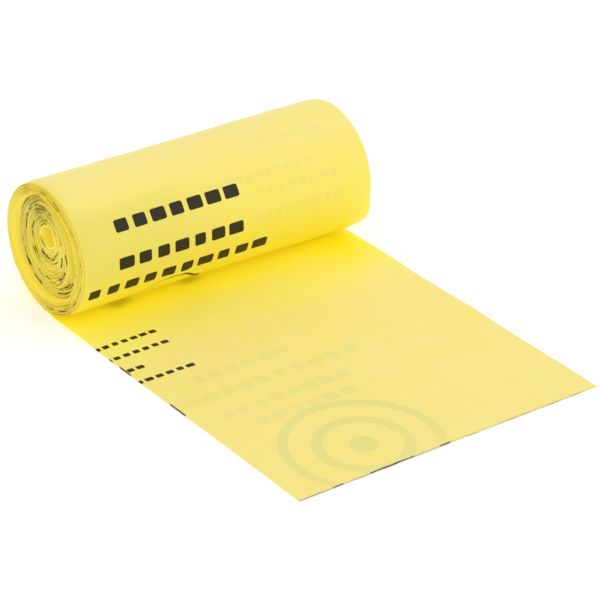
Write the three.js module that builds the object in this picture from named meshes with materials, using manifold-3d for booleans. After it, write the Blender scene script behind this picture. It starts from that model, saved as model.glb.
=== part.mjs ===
// A roll of folded polyethylene linen bags. It lies on its side, and the leading bag is drawn out flat in front of it.
// The bags are one continuous web: a film tube folded in three lengthwise, with a tear line across it at each bag's end.
// Millimetres, +Z up, X along the roll's axis, -Y towards the free end of the web, the floor at Z = 0.
import * as THREE from "three";
import { mergeVertices } from "three/addons/utils/BufferGeometryUtils.js";
import Module from "manifold-3d";

const wasm = await Module();
wasm.setup();

// The web
const webWidth = 254; // a bag 762 wide, folded in three
const webThickness = 1.2; // six layers of film, lying loosely on each other
const freeLength = 301; // from below the roll's axis to the torn edge

// The roll
const rollDepth = 102.8; // front to back
const rollHeight = 99; // the soft roll sags a little under its own weight
const boreDiameter = 16; // the eye that is left where the winding mandrel was
const eyeRise = 6.5; // how far the settled turns have left the eye above the middle
const eyeBack = 6; // and behind it

// The turns, as they show on the ends
const shownTurns = 12; // each ridge is a bundle of about 12 turns of film
const wrapTurns = 3; // the outer bundles, whose edges lie level with the web's
const turnGap = 0.7; // half the width of the groove between two bundles
const grooveDepth = 1.4;
const wrapStep = 2.4; // how far the turns just inside the wraps have slipped along the axis
const coreSlip = 6; // how far the innermost turn has slipped
const rimRadius = 1.8; // the soft outer edge of the roll

const facets = 48;
const rimFacets = 3;
const foldFacets = 4;

// A ring of facets drawn round its true circle, so that flat to flat is the true diameter
const roundOut = 1 / Math.cos(Math.PI / facets);
const turnPitch = (rollDepth - boreDiameter) / 2 / shownTurns;

// How far a bundle has slipped towards +X. The wraps have not slipped, and the rest has slipped more towards the eye.
function slipOf(turn) {
  const inner = shownTurns - wrapTurns;
  if (turn >= inner) return 0;
  const inwards = 1 - turn / inner;
  return wrapStep + (coreSlip - wrapStep) * inwards;
}

// One end of the roll, from the eye to the rim, as [radius, place along the axis].
// Outwards is -1 on the left end and 1 on the right end.
function endProfile(edge, outwards) {
  const points = [];
  for (let turn = 0; turn < shownTurns; turn++) {
    const start = boreDiameter / 2 + turn * turnPitch;
    const face = edge + slipOf(turn);
    const inside = edge + slipOf(Math.max(turn - 1, 0));
    const lower = outwards < 0 ? Math.max(face, inside) : Math.min(face, inside);
    points.push([start, lower - outwards * grooveDepth]);
    points.push([start + turnGap, face]);
    if (turn < shownTurns - 1) points.push([start + turnPitch - turnGap, face]);
  }
  const rim = Math.min(rimRadius, turnPitch - turnGap);
  for (let i = 0; i <= rimFacets; i++) {
    const angle = ((Math.PI / 2) * i) / rimFacets;
    const radius = rollDepth / 2 - rim * (1 - Math.sin(angle));
    points.push([radius, edge - outwards * rim * (1 - Math.cos(angle))]);
  }
  return points;
}

// The slack turns have settled, which leaves the eye off the middle. A turn moves less the further out it is.
function settle(turned) {
  const places = turned.attributes.position;
  for (let i = 0; i < places.count; i++) {
    const radius = Math.hypot(places.getY(i), places.getZ(i)) / roundOut;
    const inwards = Math.max(0, (rollDepth - 2 * radius) / (rollDepth - boreDiameter));
    places.setY(i, places.getY(i) + eyeBack * inwards ** 1.5);
    places.setZ(i, places.getZ(i) + eyeRise * inwards ** 1.5);
  }
}

// The wound bags: one turned solid with its eye right through it
function woundRoll() {
  const profile = [...endProfile(0, -1), ...endProfile(webWidth, 1).reverse()];
  profile.push(profile[0]);
  const points = profile.map(([radius, along]) => new THREE.Vector2(radius * roundOut, along));
  const turned = new THREE.LatheGeometry(points, facets, Math.PI / facets);
  turned.rotateZ(-Math.PI / 2);
  settle(turned);
  turned.scale(1, 1, rollHeight / rollDepth);
  turned.translate(0, 0, rollHeight / 2);
  return turned;
}

// The drawn-out web: flat on the floor, round along its two folds and square at the torn edge
function flatWeb() {
  const fold = webThickness / 2;
  const section = new THREE.Shape();
  section.moveTo(fold, 0);
  section.lineTo(webWidth - fold, 0);
  section.absarc(webWidth - fold, fold, fold, -Math.PI / 2, Math.PI / 2, false);
  section.lineTo(fold, webThickness);
  section.absarc(fold, fold, fold, Math.PI / 2, (3 * Math.PI) / 2, false);
  const options = { depth: freeLength, bevelEnabled: false, curveSegments: foldFacets };
  const web = new THREE.ExtrudeGeometry(section, options);
  web.rotateX(Math.PI / 2);
  return web;
}

function solidOf(geometry) {
  geometry.deleteAttribute("normal");
  geometry.deleteAttribute("uv");
  const merged = mergeVertices(geometry, 1e-4);
  const vertProperties = new Float32Array(merged.attributes.position.array);
  const triVerts = new Uint32Array(merged.index.array);
  return new wasm.Manifold(new wasm.Mesh({ numProp: 3, vertProperties, triVerts }));
}

function geometryOf(solid) {
  const { vertProperties, triVerts } = solid.getMesh();
  const geometry = new THREE.BufferGeometry();
  geometry.setAttribute("position", new THREE.BufferAttribute(vertProperties, 3));
  geometry.setIndex(new THREE.BufferAttribute(triVerts, 1));
  geometry.computeVertexNormals();
  return geometry;
}

const film = new THREE.MeshStandardMaterial({ color: 0xf5dc2e, roughness: 0.38, metalness: 0 });

const bagRoll = new THREE.Mesh(geometryOf(solidOf(woundRoll()).add(solidOf(flatWeb()))), film);
bagRoll.name = "bag_roll";
bagRoll.position.x = -(webWidth + slipOf(0)) / 2;
bagRoll.position.y = (freeLength - rollDepth / 2) / 2;

const linenBags = new THREE.Group();
linenBags.add(bagRoll);

export default linenBags;
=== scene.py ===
# A roll of folded yellow film bags. The leading bag is drawn out flat in front, and the rest is wound up.
# Metres, in the frame of the part: +X along the roll's axis, -Y towards the torn edge, the floor at Z = 0.
import math

import bpy
import numpy as np
from mathutils import Matrix, Vector


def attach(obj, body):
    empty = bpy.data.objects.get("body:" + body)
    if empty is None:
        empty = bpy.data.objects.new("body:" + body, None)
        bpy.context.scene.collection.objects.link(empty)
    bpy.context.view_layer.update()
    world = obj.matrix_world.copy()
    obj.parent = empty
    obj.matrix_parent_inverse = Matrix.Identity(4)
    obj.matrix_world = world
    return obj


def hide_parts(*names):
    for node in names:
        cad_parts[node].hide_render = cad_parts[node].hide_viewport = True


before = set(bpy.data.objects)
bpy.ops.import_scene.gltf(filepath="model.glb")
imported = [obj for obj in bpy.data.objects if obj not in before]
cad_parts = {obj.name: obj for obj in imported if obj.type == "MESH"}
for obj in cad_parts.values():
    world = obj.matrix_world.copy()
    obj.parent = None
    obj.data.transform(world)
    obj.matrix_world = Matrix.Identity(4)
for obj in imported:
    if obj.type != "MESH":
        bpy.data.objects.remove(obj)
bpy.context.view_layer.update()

# The web, as in the part's source
WEB_WIDTH = 0.254
WEB_LEFT = -0.130
FREE_LENGTH = 0.301
BAG_LENGTH = 1.092
FILM_STACK = 0.00056  # three panels of two films each, lying on each other
PANEL = 0.00015
PANEL_HEIGHT = FILM_STACK - PANEL / 2  # the middle of the top panel

# The roll
ROLL_DEPTH = 0.1028
ROLL_HEIGHT = 0.099
AXIS_Y = 0.1248
TORN_EDGE = AXIS_Y - FREE_LENGTH
EYE_RADIUS = 0.008
EYE_BACK = 0.006
EYE_RISE = 0.0065
RADIUS = ROLL_DEPTH / 2
SAG = ROLL_HEIGHT / ROLL_DEPTH
WRAP_PITCH = 0.00064
WRAP_RADIUS = RADIUS - FILM_STACK / 2 - WRAP_PITCH
WOUND_RADIUS = 0.0495  # the wound bags, inside the leading bag's turns
UNSETTLED_DEPTH = 0.0027  # how far outside the wound bags the turns haven't settled at all
LEADING_END = 93.0  # where the leading bag ends inside the roll, in degrees from the back and up
CORE_SLIP = 0.006

# Places on the ends of the roll, as lengths along the whole web from the torn edge, each with a soft border
WRAPS_END = (5.6, 6.0)  # up to here the turns lie level with the web's edges
RECESS_START = (5.5, 5.8)  # the wall of the step in to the slipped turns
RECESS_END = (6.3, 6.6)
EYE_START = (12.5, 12.66)  # the last turns, round the eye


class Graph:
    """A node tree that is filled by Python expressions."""

    def __init__(self, tree):
        self.tree = tree

    def node(self, kind, settings=None, sockets=None, out=0):
        """Adds a node: its settings first, then the values or links of its sockets. Returns one output."""
        made = self.tree.nodes.new(kind)
        for name, value in (settings or {}).items():
            if name == "stops":
                ramp = made.color_ramp
                while len(ramp.elements) < len(value):
                    ramp.elements.new(0.5)
                for element, (position, colour) in zip(ramp.elements, value):
                    element.position = position
                    element.color = colour
            elif name == "items":
                while len(made.index_switch_items) < value:
                    made.index_switch_items.new()
            else:
                setattr(made, name, value)
        for name, value in (sockets or {}).items():
            socket = made.inputs[name]
            if isinstance(value, Value):
                self.tree.links.new(value.socket, socket)
            else:
                socket.default_value = value
        return Value(self, made.outputs[out])

    def math(self, operation, *values):
        return self.node("ShaderNodeMath", {"operation": operation}, dict(enumerate(values)))

    def vector(self, x, y, z):
        return self.node("ShaderNodeCombineXYZ", None, {0: x, 1: y, 2: z})

    def noise(self, vector, scale, detail=2.0, roughness=0.5, shift=0.0):
        sockets = {"Vector": vector, "W": shift, "Scale": scale, "Detail": detail, "Roughness": roughness}
        return self.node("ShaderNodeTexNoise", {"noise_dimensions": "4D"}, sockets)

    def mix(self, factor, a, b):
        """Mixes two colours."""
        return self.node("ShaderNodeMix", {"data_type": "RGBA"}, {0: factor, 6: a, 7: b}, 2)

    def spread(self, value, low, high, to_low=0.0, to_high=1.0, smooth=True):
        """Carries a value from one range to another, and holds it at the ends."""
        settings = {"interpolation_type": "SMOOTHSTEP" if smooth else "LINEAR", "clamp": True}
        return self.node("ShaderNodeMapRange", settings, {0: value, 1: low, 2: high, 3: to_low, 4: to_high})

    def pick(self, index, values):
        """One of several values, by its number."""
        sockets = {"Index": index}
        sockets.update({place + 1: value for place, value in enumerate(values)})
        return self.node("GeometryNodeIndexSwitch", {"data_type": "FLOAT", "items": len(values)}, sockets)


class Value:
    """A socket that can stand in a Python expression."""

    def __init__(self, graph, socket):
        self.graph = graph
        self.socket = socket

    def __add__(self, other):
        return self.graph.math("ADD", self, other)

    def __radd__(self, other):
        return self.graph.math("ADD", other, self)

    def __sub__(self, other):
        return self.graph.math("SUBTRACT", self, other)

    def __rsub__(self, other):
        return self.graph.math("SUBTRACT", other, self)

    def __mul__(self, other):
        return self.graph.math("MULTIPLY", self, other)

    def __rmul__(self, other):
        return self.graph.math("MULTIPLY", other, self)

    def __truediv__(self, other):
        return self.graph.math("DIVIDE", self, other)

    def __pow__(self, other):
        return self.graph.math("POWER", self, other)

    def __neg__(self):
        return self.graph.math("MULTIPLY", self, -1.0)

    def __gt__(self, other):
        return self.graph.math("GREATER_THAN", self, other)

    def __lt__(self, other):
        return self.graph.math("LESS_THAN", self, other)

    def floor(self):
        return self.graph.math("FLOOR", self)

    def sin(self):
        return self.graph.math("SINE", self)

    def cos(self):
        return self.graph.math("COSINE", self)

    def abs(self):
        return self.graph.math("ABSOLUTE", self)

    def most(self, other):
        return self.graph.math("MAXIMUM", self, other)

    def least(self, other):
        return self.graph.math("MINIMUM", self, other)


# Film

FILM_PALE = (0.985, 0.835, 0.245, 1)
FILM_DEEP = (0.990, 0.835, 0.012, 1)
FILM_SHADE = (0.86, 0.76, 0.14, 1)
EDGE_DULL = (0.91, 0.83, 0.25, 1)
EDGE_BRIGHT = (0.98, 0.81, 0.08, 1)
INK_AND_SHADOW = (0.012, 0.007, 0.0005, 1)
GHOST = (0.70, 0.71, 0.25, 1)
PAINTED_SHADOW = (0.26, 0.18, 0.03, 1)
NO_GLOW = (0, 0, 0, 1)
GLOW = (1.0, 0.84, 0.02, 1)
BOUNCE = (0.70, 1.0, 0.0, 1)

# Painted bounce light along the web, as (place along it, depth): film that lies close to film is painted
# deeper.
PAINTED_DEPTH_REACH = 1.2
PAINTED_DEPTH = (
    (0.000, 0.00), (0.200, 0.04), (0.245, 0.36), (0.285, 0.98), (0.330, 0.90), (0.400, 0.30), (0.440, 0.05),
    (0.475, 0.05), (0.512, 0.38), (0.540, 0.58), (0.570, 0.74), (0.618, 0.97), (0.660, 0.55), (1.200, 0.55),
)

# Rows of plain printed bars, as (start along the web, left end, right end)
ROLL_ROWS = ((0.504, 0.028, 0.1386), (0.532, 0.027, 0.1376), (0.5535, 0.002, 0.160))
FOLD_ROWS = (
    (0.2305, -0.012, 0.050), (0.2135, -0.014, 0.049), (0.1945, -0.016, 0.016), (0.1775, -0.013, 0.046),
)
GHOST_ROWS = (
    (0.1555, 0.028, 0.111), (0.1315, 0.006, 0.152), (0.1065, 0.017, 0.127), (0.0865, 0.032, 0.117),
)
GHOST_LINES = (
    (0.262, 0.080, 0.175), (0.247, 0.050, 0.190), (0.229, 0.066, 0.172), (0.212, 0.060, 0.160),
    (0.196, 0.034, 0.195),
)
ROLL_LINES = ((0.476, 0.170, 0.228), (0.500, 0.110, 0.205), (0.514, 0.150, 0.226), (0.531, 0.145, 0.226))

# The plain rings near the torn edge: their middle, and their radii as (inside, outside)
RING_ACROSS = 0.076
RING_ALONG = 0.030
RINGS = ((0.050, 0.057), (0.027, 0.035), (-0.001, 0.010))

# Where print runs over the left fold, as (start along the web, length), and how far in from the fold it shows
LEFT_DASHES = ((0.191, 0.014), (0.126, 0.018))
LEFT_DASH_REACH = 0.0007
FOLD_DASHES = (
    (0.229, 0.009), (0.2115, 0.008), (0.1905, 0.014), (0.175, 0.009), (0.125, 0.018), (0.549, 0.010),
    (0.567, 0.008), (0.805, 0.016), (0.824, 0.007),
)
FOLD_DASH_REACH = 0.0009

# The slack pleat low on the roll's front, in degrees from the roll's back, up and over. Along the roll it
# falls and rises again, as (from, to, change).
PLEAT_LINE = 227.5
PLEAT_FALL = (0.046, 0.080, -15.5)
PLEAT_RISE = (0.087, 0.103, 11.0)

# Painted shadow on the floor web, below both ends of the pleat, as (place across, reach)
SHADOW_SPOTS = ((0.050, 0.0100), (0.1105, 0.0085))
SHADOW_SPOT_ALONG = 0.281


def bar_rows(graph, across, along, rows, height, cell, seed):
    """A mask of rows of printed bars with round corners. Each bar takes a random share of its cell."""
    total = None
    for number, (start, left, right) in enumerate(rows):
        cells = max(1, round((right - left) / cell))
        pitch = (right - left) / cells
        place = (across - left) / pitch
        cell_number = graph.vector(place.floor(), number + seed, 0.0)
        dice = graph.node("ShaderNodeTexWhiteNoise", {"noise_dimensions": "2D"}, {"Vector": cell_number})
        half = pitch * (0.29 + 0.13 * dice)
        corner = 0.18 * height
        beside = ((place - place.floor() - 0.5) * pitch).abs() - half + corner
        above = (along - (start + height / 2)).abs() - height / 2 + corner
        away = (beside.most(0.0) ** 2.0 + above.most(0.0) ** 2.0) ** 0.5
        soft = 0.00012
        row = graph.spread(away, corner + soft, corner - soft) * (across > left) * (across < right)
        total = row if total is None else total + row
    return total


def film_material(name, gloss, edges):
    """The dyed film. Its look changes where only its folded edges show, on the ends of the roll."""
    material = bpy.data.materials.new(name)
    material.use_nodes = True
    graph = Graph(material.node_tree)
    shader = material.node_tree.nodes["Principled BSDF"]
    web = graph.node("ShaderNodeUVMap", {"uv_map": "web"})
    across = graph.node("ShaderNodeSeparateXYZ", None, {0: web}, 0)
    whole = graph.node("ShaderNodeSeparateXYZ", None, {0: web}, 1)
    along = whole - (whole / BAG_LENGTH).floor() * BAG_LENGTH
    object_place = graph.node("ShaderNodeTexCoord", None, None, 3)
    clouds = graph.noise(object_place, 14.0, 3.0, 0.5, 5.0)
    fine = graph.noise(object_place, 260.0, 2.0, 0.5, 8.0)

    if edges:
        # Ink that reaches the fold shows as short dashes, and the films lie at different depths
        ink_and_shadow = None
        for start, length in FOLD_DASHES:
            dash = (along > start) * (along < start + length)
            ink_and_shadow = dash if ink_and_shadow is None else ink_and_shadow + dash
        patchy = graph.noise(graph.vector(whole * 130.0, across * 900.0, 0.0), 1.0, 2.0, 0.6, 4.0)
        ink_and_shadow = (ink_and_shadow * graph.spread(patchy, 0.36, 0.52, 0.25, 0.88) * (across.abs() < FOLD_DASH_REACH)).least(1.0)
        wraps = graph.spread(whole, *WRAPS_END, 1.0, 0.0)
        depth = graph.node("ShaderNodeSeparateXYZ", None, {0: object_place}, 1)
        behind = graph.spread(depth, AXIS_Y, AXIS_Y + 0.020)
        ink_and_shadow = ink_and_shadow * (1.0 - behind * wraps)
        turns = graph.noise(graph.vector(whole * 3.0, 0.0, 0.0), 1.0, 3.0, 0.6, 9.0)
        colour = graph.mix(graph.spread(turns * 0.6 + clouds * 0.4, 0.36, 0.62), EDGE_DULL, EDGE_BRIGHT)
        # Painted light: the level outer wraps are painted brighter, more on the front than behind
        colour = graph.mix(wraps * (0.65 - 0.5 * behind), colour, EDGE_BRIGHT)
        # Painted glow round the eye, in the recess, and on the outer wraps behind
        recess = graph.spread(whole, *RECESS_START) * graph.spread(whole, *RECESS_END, 1.0, 0.0)
        glow = graph.spread(whole, *EYE_START, 0.0, 0.10) + 0.13 * recess + wraps * (0.01 + 0.06 * behind)
        painted_light = graph.mix(glow, NO_GLOW, GLOW)
    else:
        # Ink, printed on the outer film
        ink_and_shadow = bar_rows(graph, across, along, ROLL_ROWS, 0.0095, 0.0158, 3)
        ink_and_shadow = ink_and_shadow + bar_rows(graph, across, along, FOLD_ROWS, 0.0042, 0.0080, 11)
        for start, length in LEFT_DASHES:
            ink_and_shadow = ink_and_shadow + (along > start) * (along < start + length) * (across < LEFT_DASH_REACH)
        from_ring = ((across - RING_ACROSS) ** 2.0 + (along - RING_ALONG) ** 2.0) ** 0.5
        rings = None
        for inside, outside in RINGS:
            ring = (from_ring > inside) * (from_ring < outside)
            rings = ring if rings is None else rings + ring
        ink_and_shadow = ink_and_shadow + rings * (whole < 0.0005)

        # Painted shadow: a dark line in the ink's colour under the pleat's lip, low on the roll
        line = PLEAT_LINE
        for start, end, change in (PLEAT_FALL, PLEAT_RISE):
            line = line + graph.spread(across, start, end, 0.0, change)
        below = (whole - (FREE_LENGTH + (line + 90.0) * math.radians(WRAP_RADIUS)) + 0.0008).abs()
        pleat_shadow = 0.0007 + graph.spread(across, 0.083, 0.096, 0.0, 0.0015)
        pleat_shadow = graph.spread(below, pleat_shadow + 0.0002, pleat_shadow - 0.0001)
        pleat_shadow = pleat_shadow * graph.spread(across, 0.045, 0.062, 0.0, 0.85) * graph.spread(across, 0.107, 0.102)
        ink_and_shadow = (ink_and_shadow + pleat_shadow).least(1.0)

        # Ink on the films below, seen through the upper ones
        ghost = bar_rows(graph, across, along, GHOST_ROWS, 0.0095, 0.0140, 21)
        ghost = ghost + bar_rows(graph, across, along, GHOST_LINES, 0.0040, 0.0080, 31) * 0.5
        ghost = ghost + bar_rows(graph, across, along, ROLL_LINES, 0.0055, 0.0090, 41) * 0.7
        seen = graph.spread(clouds, 0.3, 0.6, 0.6, 1.0)
        ghost = (ghost * 0.58 + rings).least(1.0) * seen

        # The dye is a little uneven, and it streaks along the web
        streaks = graph.noise(graph.vector(across * 60.0, along * 2.0, 0.0), 1.0, 3.0, 0.6, 2.0)
        # Painted bounce light: the depth table paints the yellow deeper in the nip and low on the roll's front
        stops = [(place / PAINTED_DEPTH_REACH, (depth, depth, depth, 1)) for place, depth in PAINTED_DEPTH]
        depth = graph.node("ShaderNodeValToRGB", {"stops": stops}, {"Fac": whole / PAINTED_DEPTH_REACH})
        tone = graph.spread(streaks * 0.5 + clouds * 0.5, 0.35, 0.65, -0.06, 0.06)
        clinging = graph.noise(graph.vector(across * 11.0, along * 26.0, 0.0), 1.0, 2.0, 0.55, 12.0)
        tone = tone + graph.spread(clinging, 0.50, 0.72, 0.0, 0.16)
        # Painted bounce light: the floor web is painted deeper yellow on its right, just in front of the roll
        near_roll = graph.spread(whole, 0.210, 0.245) * (whole < FREE_LENGTH)
        tone = tone + graph.spread(across, 0.190, 0.242, 0.0, 0.38) * near_roll
        colour = graph.mix(tone + depth, FILM_PALE, FILM_DEEP)
        colour = graph.mix(ghost * 0.52, colour, GHOST)
        at_fold = graph.spread(across, 0.009, 0.0, 0.0, 0.30) * (whole > FREE_LENGTH)
        colour = graph.mix(at_fold, colour, FILM_SHADE)

        # Less light reaches the left of the roll's front, and it shows the streaks
        dim = graph.spread(whole, 0.485, 0.505) * graph.spread(whole, 0.568, 0.535)
        dim = dim * graph.spread(across, 0.150, 0.060, 0.0, 0.9) * graph.spread(streaks, 0.35, 0.60, 0.7, 1.0)
        colour = graph.mix(dim, colour, FILM_SHADE)

        # Painted shadow: soft dark spots on the floor web under the pleat's ends
        for place, reach in SHADOW_SPOTS:
            away = (((across - place) * 0.55) ** 2.0 + (whole - SHADOW_SPOT_ALONG) ** 2.0) ** 0.5
            colour = graph.mix(graph.spread(away, reach, 0.0, 0.0, 0.60), colour, PAINTED_SHADOW)

        # Painted glow on the floor web near the nip, and painted bounce light there and low on the roll's front
        glow = graph.spread(whole, 0.232, 0.285, 0.0, 0.15) * (whole < FREE_LENGTH)
        bounce = graph.spread(whole, 0.185, 0.240) * graph.spread(whole, 0.290, 0.266)
        bounce = bounce + graph.spread(whole, 0.552, 0.580, 0.0, 0.35) * graph.spread(whole, 0.625, 0.600)
        painted_light = graph.mix(bounce * 0.075, graph.mix(glow, NO_GLOW, GLOW), BOUNCE)
    # Ink, and in the dyed film also the painted shadow under the pleat, in one dark colour
    colour = graph.mix(ink_and_shadow * 0.985, colour, INK_AND_SHADOW)
    graph.tree.links.new(colour.socket, shader.inputs["Base Color"])

    # Painted light: emission that stands for light coming through the film where it closes in on itself, kept
    # off the ink and the painted shadow
    painted_light = graph.mix(ink_and_shadow, painted_light, NO_GLOW)
    graph.tree.links.new(painted_light.socket, shader.inputs["Emission Color"])
    shader.inputs["Emission Strength"].default_value = 1.0
    roughness = 0.34 + 0.10 * clouds + 0.06 * fine
    graph.tree.links.new(roughness.socket, shader.inputs["Roughness"])

    # Fine creases along and across the web
    creases = graph.noise(graph.vector(across * 28.0, along * 90.0, 0.0), 1.0, 4.0, 0.6, 1.0)
    lines = graph.noise(graph.vector(across * 240.0, along * 7.0, 0.0), 1.0, 2.0, 0.5, 6.0)
    height = creases * 0.7 + lines * 0.3 + fine * 0.12
    bump = graph.node("ShaderNodeBump", None, {"Strength": 0.16, "Distance": 0.0012, "Height": height})
    graph.tree.links.new(bump.socket, shader.inputs["Normal"])
    shader.inputs["Specular IOR Level"].default_value = gloss
    return material


dyed_film = film_material("dyed_film", 0.30, False)
film_edges = film_material("film_edges", 0.12, True)


def smooth(mesh):
    for polygon in mesh.polygons:
        polygon.use_smooth = True


def dress(piece):
    """Puts a finished piece of film on the part in the place of the plain solid."""
    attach(piece, "root")
    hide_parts("bag_roll")


def tree_with_inputs(name, sizes):
    """Starts a tree with the sizes and the film as inputs. Returns its graph, inputs and their identifiers."""
    tree = bpy.data.node_groups.new(name, "GeometryNodeTree")
    names = {}
    for size, value in sizes.items():
        item = tree.interface.new_socket(size, in_out="INPUT", socket_type="NodeSocketFloat")
        item.default_value = value
        names[size] = item.identifier
    film = tree.interface.new_socket("Film", in_out="INPUT", socket_type="NodeSocketMaterial")
    names["Film"] = film.identifier
    tree.interface.new_socket("Geometry", in_out="OUTPUT", socket_type="NodeSocketGeometry")
    graph = Graph(tree)
    entry = tree.nodes.new("NodeGroupInput")
    get = {size: Value(graph, entry.outputs[size]) for size in names}
    return graph, get, names


def end_tree(graph, shape, film):
    """Ends a tree with plain geometry in one material."""
    real = graph.node("GeometryNodeRealizeInstances", None, {"Geometry": shape})
    painted = graph.node("GeometryNodeSetMaterial", None, {"Geometry": real, "Material": film})
    exit_node = graph.tree.nodes.new("NodeGroupOutput")
    graph.tree.links.new(painted.socket, exit_node.inputs["Geometry"])


def mark_web(graph, shape, web):
    """Writes the place in the web, which the film's look reads, on a shape."""
    settings = {"data_type": "FLOAT_VECTOR", "domain": "POINT"}
    web = graph.node("GeometryNodeFieldOnDomain", settings, {0: web})
    settings = {"data_type": "FLOAT2", "domain": "CORNER"}
    sockets = {"Geometry": shape, "Name": "web", "Value": web}
    return graph.node("GeometryNodeStoreNamedAttribute", settings, sockets)


# The wound bags

WOUND_SIZES = {
    "Turns": 58.0, "Steps a turn": 84.0, "Width": WEB_WIDTH, "Eye radius": EYE_RADIUS,
    "Outer radius": WOUND_RADIUS, "Looser towards the eye": 0.45, "Bundle turns": 4.6, "Bundling": 0.52,
    "Fill": 0.70, "Fold length": 0.0005, "Curl depth": 0.007, "Eye slip": CORE_SLIP, "Edge waves": 0.0011,
    "Seed": 4.0,
}


def wound_bags_tree():
    """A spiral of film turns. Every number that a maker would set is an input."""
    graph, get, names = tree_with_inputs("wound_bags", WOUND_SIZES)

    columns = 15
    rows = get["Turns"] * get["Steps a turn"] + 1.0
    grid = graph.node("GeometryNodeMeshGrid", None, {"Vertices X": rows, "Vertices Y": columns})
    index = graph.node("GeometryNodeInputIndex")
    row = (index / columns + 0.0001).floor()
    column = index - row * columns
    turn = row / get["Steps a turn"]
    angle = math.radians(LEADING_END) + (get["Turns"] - turn) * (2 * math.pi)
    out = turn / get["Turns"]

    # Where the web is round its fold, seen along the web
    width, fold, curl = get["Width"], get["Fold length"], get["Curl depth"]
    corner = math.sqrt(0.5)
    right, left = width - fold, fold
    half_turn = [width - curl, right, right + fold * corner, width, right + fold * corner, right, width - curl]
    other_half = [curl, left, left - fold * corner, 0.0, left - fold * corner, left, curl]
    place_across = graph.pick(column, [*half_turn, *other_half, width - curl])
    rise = [-1.0, -1.0, -corner, 0.0, corner, 1.0, 1.0]
    side = graph.pick(column, [*rise, *rise[::-1], -1.0])
    left_fold = [left, 0.0004, 0.0, -0.0004, -fold]
    paper_across = graph.pick(column, [*[width] * 6, width - curl, curl, *left_fold, -curl, curl - width])
    right_edge = graph.pick(column, [0.0, *[1.0] * 5, *[0.0] * 9])
    left_edge = graph.pick(column, [*[0.0] * 8, *[1.0] * 5, *[0.0] * 2])

    # The radius grows faster near the eye, and the turns lie in bundles
    seed = get["Seed"]
    depth = get["Outer radius"] - get["Eye radius"]
    loose = get["Looser towards the eye"]
    around = graph.vector(angle.cos() * 1.1, angle.sin() * 1.1, turn * 0.35)
    wander = graph.noise(around, 1.0, 2.0, 0.5, seed)
    phase = turn / get["Bundle turns"] + wander * 1.6
    bundled = get["Bundling"] * get["Bundle turns"] / (2 * math.pi) * (phase * (2 * math.pi)).sin()
    bundled = bundled * graph.spread(out, 0.0, 0.12) * graph.spread(out, 1.0, 0.9)
    shifted = ((turn + bundled) / get["Turns"]).most(0.0)
    radius = get["Eye radius"] + depth * shifted * (1.0 + loose * (1.0 - shifted))
    pitch = depth / get["Turns"] * (1.0 + loose - 2.0 * loose * out)

    # The slack turns near the eye have lost their round shape, and their edges wave
    slack = (1.0 - out) ** 1.5
    around = graph.vector(angle.cos() * 0.9, angle.sin() * 0.9, turn * 0.10)
    shape = graph.noise(around, 1.0, 2.0, 0.5, seed + 3.0) - 0.5
    around = graph.vector(angle.cos() * 3.2, angle.sin() * 3.2, turn * 0.22)
    left_waves = graph.noise(around, 1.0, 2.0, 0.55, seed + 7.0) - 0.5
    right_waves = graph.noise(around, 1.0, 2.0, 0.55, seed + 9.0) - 0.5
    at_edge = left_edge * left_waves + right_edge * right_waves
    radius = radius + shape * slack * 0.005 + at_edge * get["Edge waves"] * 2.0 * graph.spread(out, 1.0, 0.85)

    # Each turn is as thick as the room that the settling leaves it, and both ends of the spiral taper off
    settled_from = get["Outer radius"] + UNSETTLED_DEPTH
    settled_depth = settled_from - get["Eye radius"]
    before = ((settled_from - radius) / settled_depth).most(0.0) ** 0.5
    room = 1.0 - 1.5 * before * (EYE_BACK * angle.cos() + EYE_RISE * angle.sin()) / (RADIUS - EYE_RADIUS)
    taper = graph.spread(row, 0.0, 3.0) * graph.spread(rows - 1.0 - row, 0.0, 3.0)
    radius = radius + pitch * room * get["Fill"] * 0.5 * taper * side

    # The turns have slipped along the axis, bundle by bundle
    ring_out = graph.spread(out, 0.71, 0.68)
    inner_disc = graph.spread(out, 0.50, 0.46) * graph.spread(out, 0.06, 0.30)
    around = graph.vector(turn * 0.42, angle.cos() * 0.25, angle.sin() * 0.25)
    steps = graph.noise(around, 1.0, 2.0, 0.6, seed + 5.0) - 0.5
    slip = get["Eye slip"] * (0.85 * ring_out - 0.42 * inner_disc + 0.20 * (1.0 - out) * ring_out)
    slip = slip + inner_disc * 0.0020 * angle.cos() + steps * 0.0062 * graph.spread(out, 1.0, 0.9)
    slip = slip + at_edge * 0.0014

    inwards = ((settled_from - radius) / settled_depth).most(0.0) ** 1.5
    y = AXIS_Y + radius * angle.cos() + EYE_BACK * inwards
    z = ROLL_HEIGHT / 2 + SAG * (radius * angle.sin() + EYE_RISE * inwards)
    position = graph.vector(WEB_LEFT + slip + place_across, y, z)
    placed = graph.node("GeometryNodeSetPosition", None, {"Geometry": grid, "Position": position})

    # How far along the web each point is, from the torn edge
    share = out * out
    wound = get["Eye radius"] * out + depth * ((1.0 + loose) * share / 2.0 - loose * share * out / 3.0)
    whole_wound = get["Eye radius"] + depth * ((1.0 + loose) / 2.0 - loose / 3.0)
    along = BAG_LENGTH + 2 * math.pi * get["Turns"] * (whole_wound - wound)
    marked = mark_web(graph, placed, graph.vector(paper_across, along, 0.0))
    closed = graph.node("GeometryNodeMergeByDistance", None, {"Geometry": marked, "Distance": 2e-6})
    shaded = graph.node("GeometryNodeSetShadeSmooth", None, {"Geometry": closed, "Shade Smooth": True})
    end_tree(graph, shaded, get["Film"])
    return graph.tree, names


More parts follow.
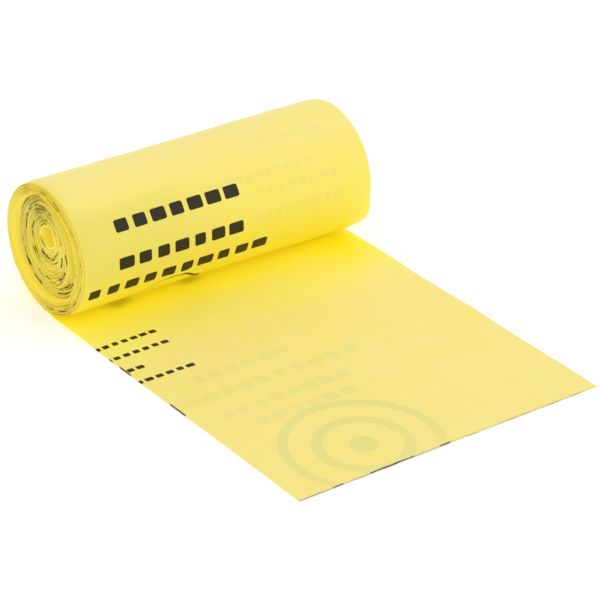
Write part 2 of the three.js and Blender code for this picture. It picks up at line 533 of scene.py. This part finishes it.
def from_nodes(name, tree, names, sizes, film):
    """Runs a node tree with its sizes and film, and returns its result as a plain mesh object."""
    carrier = bpy.data.objects.new(name + "_carrier", bpy.data.meshes.new(name + "_carrier"))
    bpy.context.scene.collection.objects.link(carrier)
    modifier = carrier.modifiers.new("nodes", "NODES")
    modifier.node_group = tree
    for size, value in {**sizes, "Film": film}.items():
        modifier[names[size]] = value
    bpy.context.view_layer.update()
    evaluated = carrier.evaluated_get(bpy.context.evaluated_depsgraph_get())
    mesh = bpy.data.meshes.new_from_object(evaluated)
    mesh.name = name
    film_used = [material for material in mesh.materials if material][0]
    mesh.materials.clear()
    mesh.materials.append(film_used)
    mesh.polygons.foreach_set("material_index", np.zeros(len(mesh.polygons), np.int32))
    bpy.data.objects.remove(carrier)
    piece = bpy.data.objects.new(name, mesh)
    bpy.context.scene.collection.objects.link(piece)
    return piece


wound_bags = from_nodes("wound_bags", *wound_bags_tree(), WOUND_SIZES, film_edges)


# The leading bag

def waves(x, y, seed, count, longest, shortest):
    """A sum of soft waves in two directions, between about -1 and 1."""
    random = np.random.default_rng(seed)
    total = np.zeros(np.broadcast(x, y).shape)
    for _ in range(count):
        length = math.exp(random.uniform(math.log(shortest), math.log(longest)))
        heading = random.uniform(0, math.pi)
        phase = random.uniform(0, 2 * math.pi)
        run = (x * math.cos(heading) + y * math.sin(heading)) / length
        total = total + np.sin(2 * math.pi * run + phase) * length / longest
    return total / math.sqrt(count)


def step(value, low, high):
    share = np.clip((value - low) / (high - low), 0, 1)
    return share * share * (3 - 2 * share)


def web_section():
    """The section across the folded web, as rows of (across, side, paper, outer, inner).

    Side is the height in the stack from -0.5 to 0.5, paper is the place across for the print,
    outer marks the face that is outside on the roll, and inner the one that is up on the floor.
    """
    spacing = 0.0032 + 0.0024 * step(np.linspace(0, 1, 64), 0.45, 0.75)
    fine = 0.004 + (WEB_WIDTH - 0.008) * np.concatenate([[0], np.cumsum(spacing) / spacing.sum()])
    coarse = np.linspace(0.008, WEB_WIDTH - 0.008, 22)
    half = PANEL / 2 / FILM_STACK
    levels = (0.5 - half, 0.0, -0.5 + half)
    points = []

    def face(places, level, paper, outer=0.0, inner=0.0):
        for x in places:
            points.append((x, level, paper * x, outer, inner))

    def bend(x, direction, middle, reach, start, end, paper, count=5):
        for i in range(count):
            angle = math.radians(start + (end - start) * i / (count - 1))
            place = x + direction * reach * math.cos(angle)
            points.append((place, middle + reach / FILM_STACK * math.sin(angle), paper, 0.0, 0.0))

    edge = 0.0007
    gap = (levels[0] - levels[1]) / 2 * FILM_STACK
    # From the top panel's free edge to the left, over the fold, back on the middle panel, and so on
    face(fine[::-1], levels[0] + half, 1.0, inner=1.0)
    bend(edge, -1, (levels[0] + levels[1]) / 2, gap + PANEL / 2, 90, -90, 0.0, 7)
    face(coarse, levels[1] - half, 1.0)
    bend(WEB_WIDTH - edge, 1, (levels[1] + levels[2]) / 2, gap - PANEL / 2, 90, -90, WEB_WIDTH, 5)
    face(coarse[::-1], levels[2] + half, 1.0)
    bend(edge, -1, levels[2], PANEL / 2, 90, -90, 0.0, 5)
    face(fine, levels[2] - half, 1.0, outer=1.0)
    bend(WEB_WIDTH - edge, 1, (levels[1] + levels[2]) / 2, gap + PANEL / 2, -90, 90, WEB_WIDTH, 7)
    face(coarse[::-1], levels[1] + half, 1.0)
    bend(edge, -1, (levels[0] + levels[1]) / 2, gap - PANEL / 2, -90, 90, 0.0, 5)
    face(coarse, levels[0] - half, 1.0)
    bend(WEB_WIDTH - edge, 1, levels[0], PANEL / 2, -90, 90, WEB_WIDTH, 5)
    return np.array(points)


def leading_bag_mesh():
    section = web_section()
    # Rows of points, as (start along the web, spacing), closest at the pleat
    parts = (
        (0.0, 0.002), (0.004, 0.0042), (0.262, 0.003), (FREE_LENGTH, 0.0036), (0.552, 0.0005), (0.592, 0.0036),
        (0.640, 0.0052), (BAG_LENGTH, 0),
    )
    runs = [np.arange(start, end, spacing) for (start, spacing), (end, _) in zip(parts, parts[1:])]
    along = np.concatenate(runs)[:, None]
    across, side, paper, outer, inner = (column[None, :] for column in section.T)

    # The path of the stack's middle: along the floor, then up the back of the roll and round
    angle = np.maximum(along - FREE_LENGTH, 0) / WRAP_RADIUS
    turns = angle / (2 * math.pi)
    radius = RADIUS - FILM_STACK / 2 - WRAP_PITCH * turns
    on_roll = step(angle, 0.0, 0.5)

    # Lumps of the whole roll, and soft waves of the web on the floor
    lumps = waves(across * 0.35, np.sin(angle) * 0.05, 3, 9, 0.09, 0.03)
    lumps = lumps + waves(across * 0.35, np.cos(angle) * 0.05, 5, 9, 0.09, 0.03)
    first = step(turns, 1.15, 0.95)
    edges = np.minimum(across, WEB_WIDTH - across)
    radius = radius + 0.00022 * lumps * on_roll - 0.0008 * step(edges, 0.007, 0.0) * first * on_roll
    ripple = np.maximum(waves(across, along * 0.35, 11, 12, 0.035, 0.010), -0.2) + 0.2
    low = np.degrees(angle) - 90.0
    taut = 1.0 - 0.75 * step(low, 205.0, 220.0)
    radius = radius + 0.00030 * ripple * taut * outer * first * on_roll

    # The last wrap hangs slack low on the front: it bulges and spreads towards the right
    slack = step(low, 185.0, 218.0) * step(low, 256.0, 240.0)
    radius = radius + 0.0014 * step(across, 0.110, 0.225) * slack

    # A slack pleat in the outer film, low on the front of the roll
    line = PLEAT_LINE
    for start, end, change in (PLEAT_FALL, PLEAT_RISE):
        line = line + change * step(across, start, end)
    lip = step(low, line - 8.0, line - 0.6) * step(low, line + 0.5, line - 0.1) * step(across, 0.050, 0.090)
    pocket = step(low, line - 0.2, line + 0.4) * step(low, line + 5.0, line + 0.8) * step(across, 0.036, 0.060)
    right_end = step(across, 0.110, 0.103)
    deeper = 1.0 + 1.4 * step(across, 0.076, 0.098)
    radius = radius + (0.0008 * lip - 0.0010 * pocket) * deeper * right_end * outer * first

    height = side * FILM_STACK
    spin = angle - math.pi / 2
    reach = radius - height
    roll_y = AXIS_Y + reach * np.cos(spin)
    roll_z = ROLL_HEIGHT / 2 + SAG * reach * np.sin(spin)

    lift = 0.0009 * np.maximum(waves(across, along, 21, 14, 0.12, 0.05) - 0.35, 0.0)
    lift = lift + 0.0005 * np.maximum(waves(across * 1.3, along * 0.5, 23, 8, 0.06, 0.03), 0.0)
    lift = lift * step(along, FREE_LENGTH, FREE_LENGTH - 0.05) * step(along, 0.0, 0.03)
    sheen = 0.00016 * (waves(across, along * 0.6, 27, 16, 0.03, 0.008) + 1.2).clip(0) * inner
    seal = -0.00012 * np.exp(-(((along - 0.011) / 0.0022) ** 2)) * inner
    floor_y = TORN_EDGE + along + 0 * across
    floor_z = FILM_STACK / 2 + height + lift + sheen + seal
    on_floor = along <= FREE_LENGTH
    y = np.where(on_floor, floor_y, roll_y)
    z = np.where(on_floor, floor_z, roll_z)

    # The torn edge is a little ragged, and the layers don't end at quite the same line
    near_edge = step(along, 0.006, 0.0)
    layer = np.round(side * 2.2)
    ragged = 0.0005 * waves(across, across * 0 + layer * 0.03, 31, 10, 0.02, 0.004) + 0.0007 * layer
    ragged = ragged + 0.0006 * waves(across, across * 0, 33, 4, 0.2, 0.1)
    y = y - near_edge * ragged

    # The web weaves along the axis as it is wound
    weave = 0.0009 * step(turns, 0.0, 0.3) * step(turns, 1.3, 0.7) + 0.0004 * np.sin(angle * 1.3)
    side_line = 0.0003 * np.sin(along * 17.0 + 1.0)
    loose_folds = (0.0052 * across / WEB_WIDTH - 0.0012) * step(along, 0.301, 0.284)
    slack_folds = 0.0042 * (across / WEB_WIDTH) ** 2 * slack
    x = WEB_LEFT + across + np.where(on_floor, side_line + loose_folds, weave + slack_folds + 0.0003)

    rows, columns = y.shape
    x = np.broadcast_to(x, y.shape)
    co = np.stack([x, y, z], axis=2).reshape(-1, 3)
    quads = []
    for r in range(rows - 1):
        a = r * columns + np.arange(columns)
        b = r * columns + (np.arange(columns) + 1) % columns
        quads.append(np.stack([a + columns, b + columns, b, a], axis=1))
    quads = np.concatenate(quads)
    faces = [tuple(int(i) for i in quad) for quad in quads]
    faces += [tuple(range(columns)), tuple(range(rows * columns - 1, (rows - 1) * columns - 1, -1))]
    mesh = bpy.data.meshes.new("leading_bag")
    mesh.from_pydata(co.tolist(), [], faces)
    paper_grid = np.broadcast_to(paper, y.shape).reshape(-1)
    along_grid = np.broadcast_to(along, y.shape).reshape(-1)
    loops = np.zeros(len(mesh.loops), np.int32)
    mesh.loops.foreach_get("vertex_index", loops)
    web = np.stack([paper_grid[loops], along_grid[loops]], axis=1)
    mesh.uv_layers.new(name="web").data.foreach_set("uv", web.reshape(-1).astype(np.float32))
    mesh.materials.append(dyed_film)
    return mesh


mesh = leading_bag_mesh()
leading_bag = bpy.data.objects.new("leading_bag", mesh)
bpy.context.scene.collection.objects.link(leading_bag)
smooth(mesh)


# The perforation's ties, which stretch and tear as a bag is pulled off

TIE_SIZES = {
    "Ties": 124.0, "Pitch": 0.00204, "Tie width": 0.0010, "Tie length": 0.0021, "Film thickness": 0.00010,
    "Uneven": 0.35, "Seed": 6.0,
}


def torn_ties_tree():
    """A row of short pointed tabs along the torn edge. Every number that a maker would set is an input."""
    graph, get, names = tree_with_inputs("torn_ties", TIE_SIZES)

    def dice(low, high, seed):
        sockets = {2: low, 3: high, "Seed": seed}
        return graph.node("FunctionNodeRandomValue", {"data_type": "FLOAT"}, sockets, 1)

    first = graph.vector(WEB_LEFT + 0.0008, TORN_EDGE + get["Tie length"] * 0.72, PANEL_HEIGHT)
    offset = graph.vector(get["Pitch"], 0.0, 0.0)
    sockets = {"Count": get["Ties"], "Start Location": first, "Offset": offset}
    line = graph.node("GeometryNodeMeshLine", None, sockets)
    width, length = get["Tie width"], get["Tie length"]
    sockets = {"Radius Top": width * 0.16, "Radius Bottom": width * 0.5, "Depth": length}
    tie = graph.node("GeometryNodeMeshCone", None, {"Vertices": 6, "Side Segments": 3, **sockets})
    size = dice(1.0 - get["Uneven"], 1.0 + get["Uneven"], get["Seed"])
    turn = dice(-0.3, 0.3, get["Seed"] + 1.0)
    upright = graph.vector(math.pi / 2, 0.0, turn)
    scale = graph.vector(size, get["Film thickness"] / width, size)
    sockets = {"Points": line, "Instance": tie, "Rotation": upright, "Scale": scale}
    ties = graph.node("GeometryNodeInstanceOnPoints", None, sockets)
    real = graph.node("GeometryNodeRealizeInstances", None, {"Geometry": ties})
    place = graph.node("ShaderNodeSeparateXYZ", None, {0: graph.node("GeometryNodeInputPosition")}, 0)
    marked = mark_web(graph, real, graph.vector(place - WEB_LEFT, 0.002, 0.0))
    end_tree(graph, marked, get["Film"])
    return graph.tree, names


torn_ties = from_nodes("torn_ties", *torn_ties_tree(), TIE_SIZES, dyed_film)


# Floor, light and camera

def plain_floor():
    mesh = bpy.data.meshes.new("floor")
    reach, height = 6.0, -0.0002
    signs = ((-1, -1), (1, -1), (1, 1), (-1, 1))
    mesh.from_pydata([(x * reach, y * reach, height) for x, y in signs], [], [(0, 1, 2, 3)])
    material = bpy.data.materials.new("pale_floor")
    material.use_nodes = True
    shader = material.node_tree.nodes["Principled BSDF"]
    shader.inputs["Base Color"].default_value = (0.93, 0.93, 0.93, 1)
    shader.inputs["Roughness"].default_value = 0.9
    shader.inputs["Specular IOR Level"].default_value = 0.1
    shader.inputs["Emission Color"].default_value = (1, 1, 1, 1)
    shader.inputs["Emission Strength"].default_value = 0.25
    mesh.materials.append(material)
    floor = bpy.data.objects.new("floor", mesh)
    bpy.context.scene.collection.objects.link(floor)
    return floor


def soft_light(name, place, aim, size, power):
    data = bpy.data.lights.new(name, "AREA")
    data.shape = "SQUARE"
    data.size = size
    data.energy = power
    light = bpy.data.objects.new(name, data)
    light.location = place
    light.rotation_euler = (Vector(aim) - Vector(place)).to_track_quat("-Z", "Y").to_euler()
    bpy.context.scene.collection.objects.link(light)


def photo_camera():
    """The camera that was fitted to the photo. Its focal length and picture width are in pixels."""
    azimuth, elevation, roll = -0.6638, 0.5047, 0.0353
    place = (-1.1090, -1.4217, 1.0226)
    focal_length, picture_width = 2921.7, 600
    level = math.cos(elevation)
    back = Vector((math.sin(azimuth) * level, -math.cos(azimuth) * level, math.sin(elevation)))
    right = Vector((math.cos(azimuth), math.sin(azimuth), 0))
    up = back.cross(right)
    x = right * math.cos(roll) + up * math.sin(roll)
    y = up * math.cos(roll) - right * math.sin(roll)
    data = bpy.data.cameras.new("camera")
    data.sensor_width = 36
    data.lens = focal_length / picture_width * data.sensor_width
    data.clip_end = 50
    camera = bpy.data.objects.new("camera", data)
    turn = Matrix((x, y, back)).transposed().to_4x4()
    camera.matrix_world = Matrix.Translation(place) @ turn
    bpy.context.scene.collection.objects.link(camera)
    bpy.context.scene.camera = camera


floor = plain_floor()
soft_light("overhead", (0.5, 0.3, 1.6), (0, 0, 0), 1.8, 3.4)
soft_light("front_fill", (1.2, -1.6, 0.4), (0, 0.05, 0.03), 1.2, 3.2)
photo_camera()
scene = bpy.context.scene
scene.world = scene.world or bpy.data.worlds.new("studio")
scene.world.use_nodes = True
scene.world.node_tree.nodes["Background"].inputs["Color"].default_value = (1, 1, 1, 1)
scene.world.node_tree.nodes["Background"].inputs["Strength"].default_value = 0.85
scene.view_settings.view_transform = "Standard"

for piece in (wound_bags, leading_bag, torn_ties):
    dress(piece)
